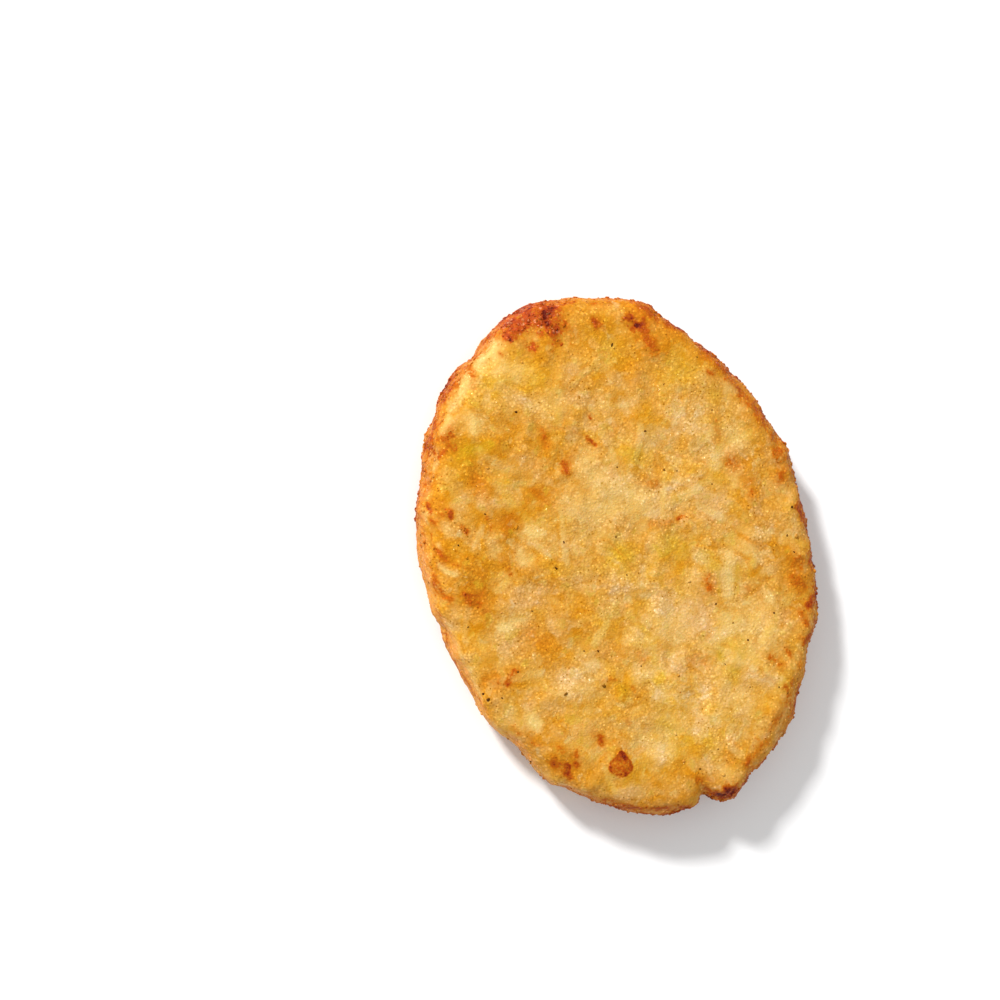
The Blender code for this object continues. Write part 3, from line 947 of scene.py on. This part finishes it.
class Graph:
    """Adds nodes to a material. An input given as a socket is linked, and any other is set."""

    def __init__(self, name):
        self.material = bpy.data.materials.new(name)
        self.material.use_nodes = True
        self.tree = self.material.node_tree
        self.shader = self.tree.nodes["Principled BSDF"]

    def feed(self, node, inputs):
        for name, value in inputs.items():
            socket = node.inputs[name]
            if isinstance(value, bpy.types.NodeSocket):
                self.tree.links.new(value, socket)
            else:
                socket.default_value = value

    def add(self, kind, inputs=None, out=0, **settings):
        """Adds a node and gives one of its outputs."""
        node = self.tree.nodes.new("ShaderNode" + kind)
        for name, value in settings.items():
            setattr(node, name, value)
        self.feed(node, inputs or {})
        return node.outputs[out]

    def field(self, name):
        """The value of one of the mesh's fields."""
        return self.add("Attribute", out="Fac", attribute_name=name)

    @property
    def place(self):
        """Where a point is, in metres."""
        return self.add("TexCoord", out="Object")

    def noise(self, size, detail=2.0, roughness=0.55):
        """Noise with lumps of one size, from 0 to 1."""
        inputs = {"Vector": self.place, "Scale": 1 / size, "Detail": detail, "Roughness": roughness}
        return self.add("TexNoise", inputs)

    def pieces(self, place, size):
        """Three values at random for each soft-edged piece of one size."""
        inputs = {"Vector": place, "Scale": 1 / size, "Smoothness": 1.0}
        colour = self.add("TexVoronoi", inputs, out="Color", feature="SMOOTH_F1")
        return tuple(self.add("SeparateColor", {"Color": colour}).node.outputs)

    def dots(self, size, radius, rarity, strength):
        """Small dots, one in each cell of the given size, left out of a share of the cells."""
        cells = self.add("TexVoronoi", {"Vector": self.place, "Scale": 1 / size}).node
        kept = self.add("SeparateColor", {"Color": cells.outputs["Color"]})
        kept = self.span(kept, rarity, rarity + 0.1, 0.0, strength)
        return self.math("MULTIPLY", kept, self.span(cells.outputs["Distance"], radius, radius / 2))

    def granules(self, size):
        """Grains of one size, each with a light of its own at its middle and 0 round its edge."""
        cells = self.add("TexVoronoi", {"Vector": self.place, "Scale": 1 / size}).node
        lit = self.add("SeparateColor", {"Color": cells.outputs["Color"]})
        middle = self.span(cells.outputs["Distance"], 0.60, 0.10)
        return self.math("MULTIPLY", middle, self.span(lit, 0.0, 1.0, 0.3, 1.0))

    def blend(self, *parts):
        """The sum of (value, weight) pairs."""
        total = 0.0
        for value, weight in parts:
            total = self.math("MULTIPLY_ADD", value, weight, total)
        return total

    def math(self, operation, a, b=0.0, c=0.0):
        return self.add("Math", {0: a, 1: b, 2: c}, operation=operation)

    def span(self, value, low, high, to_low=0.0, to_high=1.0):
        """value taken from low..high to to_low..to_high, and kept within them."""
        inputs = {"Value": value, "From Min": low, "From Max": high}
        inputs.update({"To Min": to_low, "To Max": to_high})
        return self.add("MapRange", inputs)

    def mix(self, share, a, b, blend="MIX"):
        """The colour a with a share of b. A Mix node repeats socket names, so it goes by number."""
        inputs = {0: share, 6: a, 7: b}
        return self.add("Mix", inputs, out=2, data_type="RGBA", blend_type=blend)

    def ramp(self, value, stops):
        """Colours by value, from (place, sRGB colour) stops."""
        node = self.tree.nodes.new("ShaderNodeValToRGB")
        elements = node.color_ramp.elements
        while len(elements) < len(stops):
            elements.new(0.5)
        for element, (place, colour) in zip(elements, stops):
            element.position = place
            element.color = linear(colour)
        self.tree.links.new(value, node.inputs[0])
        return node.outputs[0]


def potato_colour(g, pieces, bits, fleck):
    """The golden crust with its golden, pale, leafy and orange pieces."""
    mottle = g.noise(MOTTLE_SIZE, 3.0, 0.6)
    mixed = g.blend((mottle, 0.16), (pieces[0], 0.20), (bits[0], 0.19), (fleck, 0.18), (1.0, 0.112))
    tone = g.blend((mixed, 1.0), (g.field("golden"), -0.07), (g.field("light"), 0.10))
    colour = g.ramp(tone, GOLDEN_TONES)
    colour = g.mix(g.span(pieces[2], 0.60, 0.90, 0.0, 0.36), colour, linear(ORANGE))
    colour = g.mix(g.span(bits[0], 0.66, 0.90, 0.0, 0.44), colour, linear(LEAFY))
    colour = g.mix(g.span(bits[1], 0.70, 0.90, 0.0, 0.28), colour, linear(PALE))
    soft = g.noise(2.2 * MM)
    vivid = g.blend((pieces[1], 0.34), (bits[2], 0.22), (soft, 0.16), (1.0, 0.615))
    vivid = g.blend((vivid, 1.0), (mixed, -1.0), (g.field("vivid"), 0.12))
    vivid = g.mix(g.span(vivid, 0.25, 0.75), LEAST_VIVID, MOST_VIVID)
    colour = g.mix(1.0, colour, vivid, "MULTIPLY")
    colour = g.mix(g.math("MULTIPLY", g.field("leafy"), 0.95), colour, linear(LEAFY))
    return g.mix(g.math("MULTIPLY", g.field("pale"), 0.9), colour, linear(PALE))


def salmon_side(g, colour, bits):
    """The colour, turned salmon on the patty's side."""
    # the salmon deepens on the toasted stretches, partly as painted shade
    salmon = g.mix(g.span(g.field("toasting"), 0.22, 0.50), linear(SALMON), linear(SALMON_DEEP))
    on_side = g.math("MULTIPLY", g.field("side"), g.span(bits[0], 0.25, 0.75, 0.35, 0.90))
    on_side = g.math("MULTIPLY", on_side, g.span(g.field("pale"), 0.0, 1.0, 1.0, 0.2))
    return g.mix(on_side, colour, salmon)


def browning(g, bits, fleck, grain):
    """How browned the crust is, from its field, broken up by its pieces and its grain."""
    uneven = g.blend((fleck, 0.35), (grain, 0.40), (bits[2], 0.25))
    browned = g.math("MULTIPLY", g.field("brown"), g.span(uneven, 0.34, 0.66, 0.40, 1.45))
    browned = g.math("MULTIPLY_ADD", g.field("side"), g.span(fleck, 0.50, 0.70, 0.0, 0.18), browned)
    browned = g.math("MULTIPLY_ADD", g.span(g.field("tone"), 0.0, 1.0), 0.16, browned)
    return g.math("ADD", browned, g.dots(*BROWN_DOTS, 0.30))


def browned_colour(g, colour, browned):
    """The colour, browned to a crisp in the marks, rusty at the head and lighter on some crumbs."""
    crisp = g.ramp(browned, BROWNED_TONES)
    rusty = g.math("MULTIPLY", g.field("rust"), g.span(browned, 0.25, 0.50, 0.0, 0.60))
    rusty = g.math("MULTIPLY", rusty, g.span(browned, 1.00, 0.60))
    crisp = g.mix(rusty, crisp, linear(RUST))
    colour = g.mix(g.span(browned, 0.04, 0.40), colour, crisp)
    return g.mix(g.span(g.field("tone"), 0.0, -1.0, 0.0, 0.30), colour, linear(PALE_CRUMB_AND_BEAD_HIGHLIGHT))


def crust_material():
    """The golden crust, browned in its marks, under a fine grain with glossy, painted glints."""
    g = Graph("golden_crust")
    warp_inputs = {"Vector": g.place, "Scale": 1 / WARP_SIZE, "Detail": 2.0}
    warp = g.add("TexNoise", warp_inputs, out="Color")
    warped = g.add("VectorMath", {0: warp, 1: (WARP,) * 3, 2: g.place}, operation="MULTIPLY_ADD")
    pieces = g.pieces(warped, PIECE_SIZE)
    bits = g.pieces(warped, BIT_SIZE)
    fleck = g.noise(FLECK_SIZE, 3.0, 0.6)
    grain = g.noise(FINE_SIZE, 2.0, 0.6)
    browned = browning(g, bits, fleck, grain)
    colour = salmon_side(g, potato_colour(g, pieces, bits, fleck), bits)
    colour = browned_colour(g, colour, browned)

    # beads of fat on the browned head, their pale colour a painted highlight
    bead_highlight = g.math("MULTIPLY", g.dots(*BEAD_HIGHLIGHT_DOTS, 1.0), g.field("rust"))
    bead_highlight = g.math("MULTIPLY", bead_highlight, g.span(g.field("brown"), 0.30, 0.60))
    bead_highlight = g.math("MULTIPLY", bead_highlight, g.span(grain, 0.38, 0.58))
    colour = g.mix(g.math("MULTIPLY", bead_highlight, 0.7), colour, linear(PALE_CRUMB_AND_BEAD_HIGHLIGHT))

    # fine grain, with painted glint highlights on it, glossy under the coat too, and pits in it
    glossy_painted_glint = g.math("MULTIPLY", g.dots(*PAINTED_GLINTS, 1.0), g.span(browned, 1.1, 0.6, 0.4, 1.0))
    pit = g.dots(*PITS, 1.0)
    granule = g.granules(GRANULE_SIZE)
    fine = g.blend((grain, 0.40), (fleck, 0.26), (granule, 0.28), (glossy_painted_glint, 0.52), (pit, -0.46))
    fine = g.mix(g.span(fine, 0.11, 0.75), GRAIN_LOW, GRAIN_TOP)
    fine = g.mix(g.span(g.field("grit"), 0.0, 1.0, 0.25, 1.0), PLAIN, fine)
    colour = g.mix(1.0, colour, fine, "MULTIPLY")

    rough = g.blend((fleck, 0.5), (grain, 0.7), (granule, 0.3))
    gloss = g.blend((glossy_painted_glint, 0.7), (bead_highlight, 0.4), (g.span(g.field("brown"), 0.3, 0.7), 0.06))
    g.feed(
        g.shader,
        {
            "Base Color": colour,
            "Roughness": g.span(grain, 0.3, 0.7, 0.42, 0.62),
            "Normal": g.add("Bump", {"Height": rough, "Strength": 0.8, "Distance": 0.25 * MM}),
            "Specular IOR Level": 0.06,
            "Coat Weight": gloss,
            "Coat Roughness": 0.14,
            "Coat Normal": g.add("Bump", {"Height": grain, "Strength": 1.0, "Distance": 0.40 * MM}),
            "Subsurface Weight": 0.12,
            "Subsurface Radius": (1.0, 0.45, 0.15),
            "Subsurface Scale": 1.2 * MM,
        },
    )
    return g.material


def pepper_material():
    """Dull specks, each of a brown of its own."""
    g = Graph("pepper")
    colour = g.ramp(g.field("tone"), PEPPER_TONES)
    roughness = g.span(g.noise(0.2 * MM), 0.3, 0.7, 0.6, 0.9)
    g.feed(g.shader, {"Base Color": colour, "Roughness": roughness, "Specular IOR Level": 0.06})
    return g.material


def floor_material():
    """A matt white with faint broad variation."""
    g = Graph("white_floor")
    shade = g.span(g.noise(0.3, 1.0), 0.3, 0.7, 0.90, 0.91)
    g.feed(g.shader, {"Base Color": shade, "Roughness": 0.9, "Specular IOR Level": 0.1})
    return g.material


# ---- Stage


def make_floor():
    """A pale floor that reaches past the picture."""
    corners = FLOOR_REACH * np.array([(-1, -1), (1, -1), (1, 1), (-1, 1)])
    points = np.array([(x, y, -FLOOR_DROP) for x, y in corners])
    mesh_object("floor", points, np.array([[0, 1, 2, 3]]), {}, floor_material())


def make_lights():
    """One small key light for a clear shadow, and an even white sky."""
    key = bpy.data.lights.new("key", "AREA")
    key.energy = KEY_POWER
    key.size = KEY_SIZE
    made = bpy.data.objects.new("key", key)
    made.location = KEY_TOWARDS * KEY_DISTANCE
    made.rotation_euler = KEY_TOWARDS.to_track_quat("Z", "Y").to_euler()
    bpy.context.scene.collection.objects.link(made)
    world = bpy.data.worlds.new("soft_sky")
    world.use_nodes = True
    world.node_tree.nodes["Background"].inputs["Color"].default_value = (1, 1, 1, 1)
    world.node_tree.nodes["Background"].inputs["Strength"].default_value = SKY_STRENGTH
    bpy.context.scene.world = world


def main():
    """Makes the patty's pieces, then the stage round them."""
    draw = random.Random(SEED)
    find = pixel_finder()
    points, faces, fields = crust_mesh(find)
    normals = point_normals(points, faces)
    golden = crust_material()
    crust = mesh_object("crust", points, faces, fields, golden)
    crumbs = mesh_object("crumbs", *crumbs_mesh(points, normals, fields, draw), golden)
    pepper = mesh_object("pepper", *pepper_mesh(points, normals, find, draw), pepper_material())
    for piece in (crust, crumbs, pepper):
        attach(piece, "root")
    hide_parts(NODE)
    make_floor()
    make_lights()
    make_camera()
    bpy.context.scene.view_settings.view_transform = "Standard"


main()
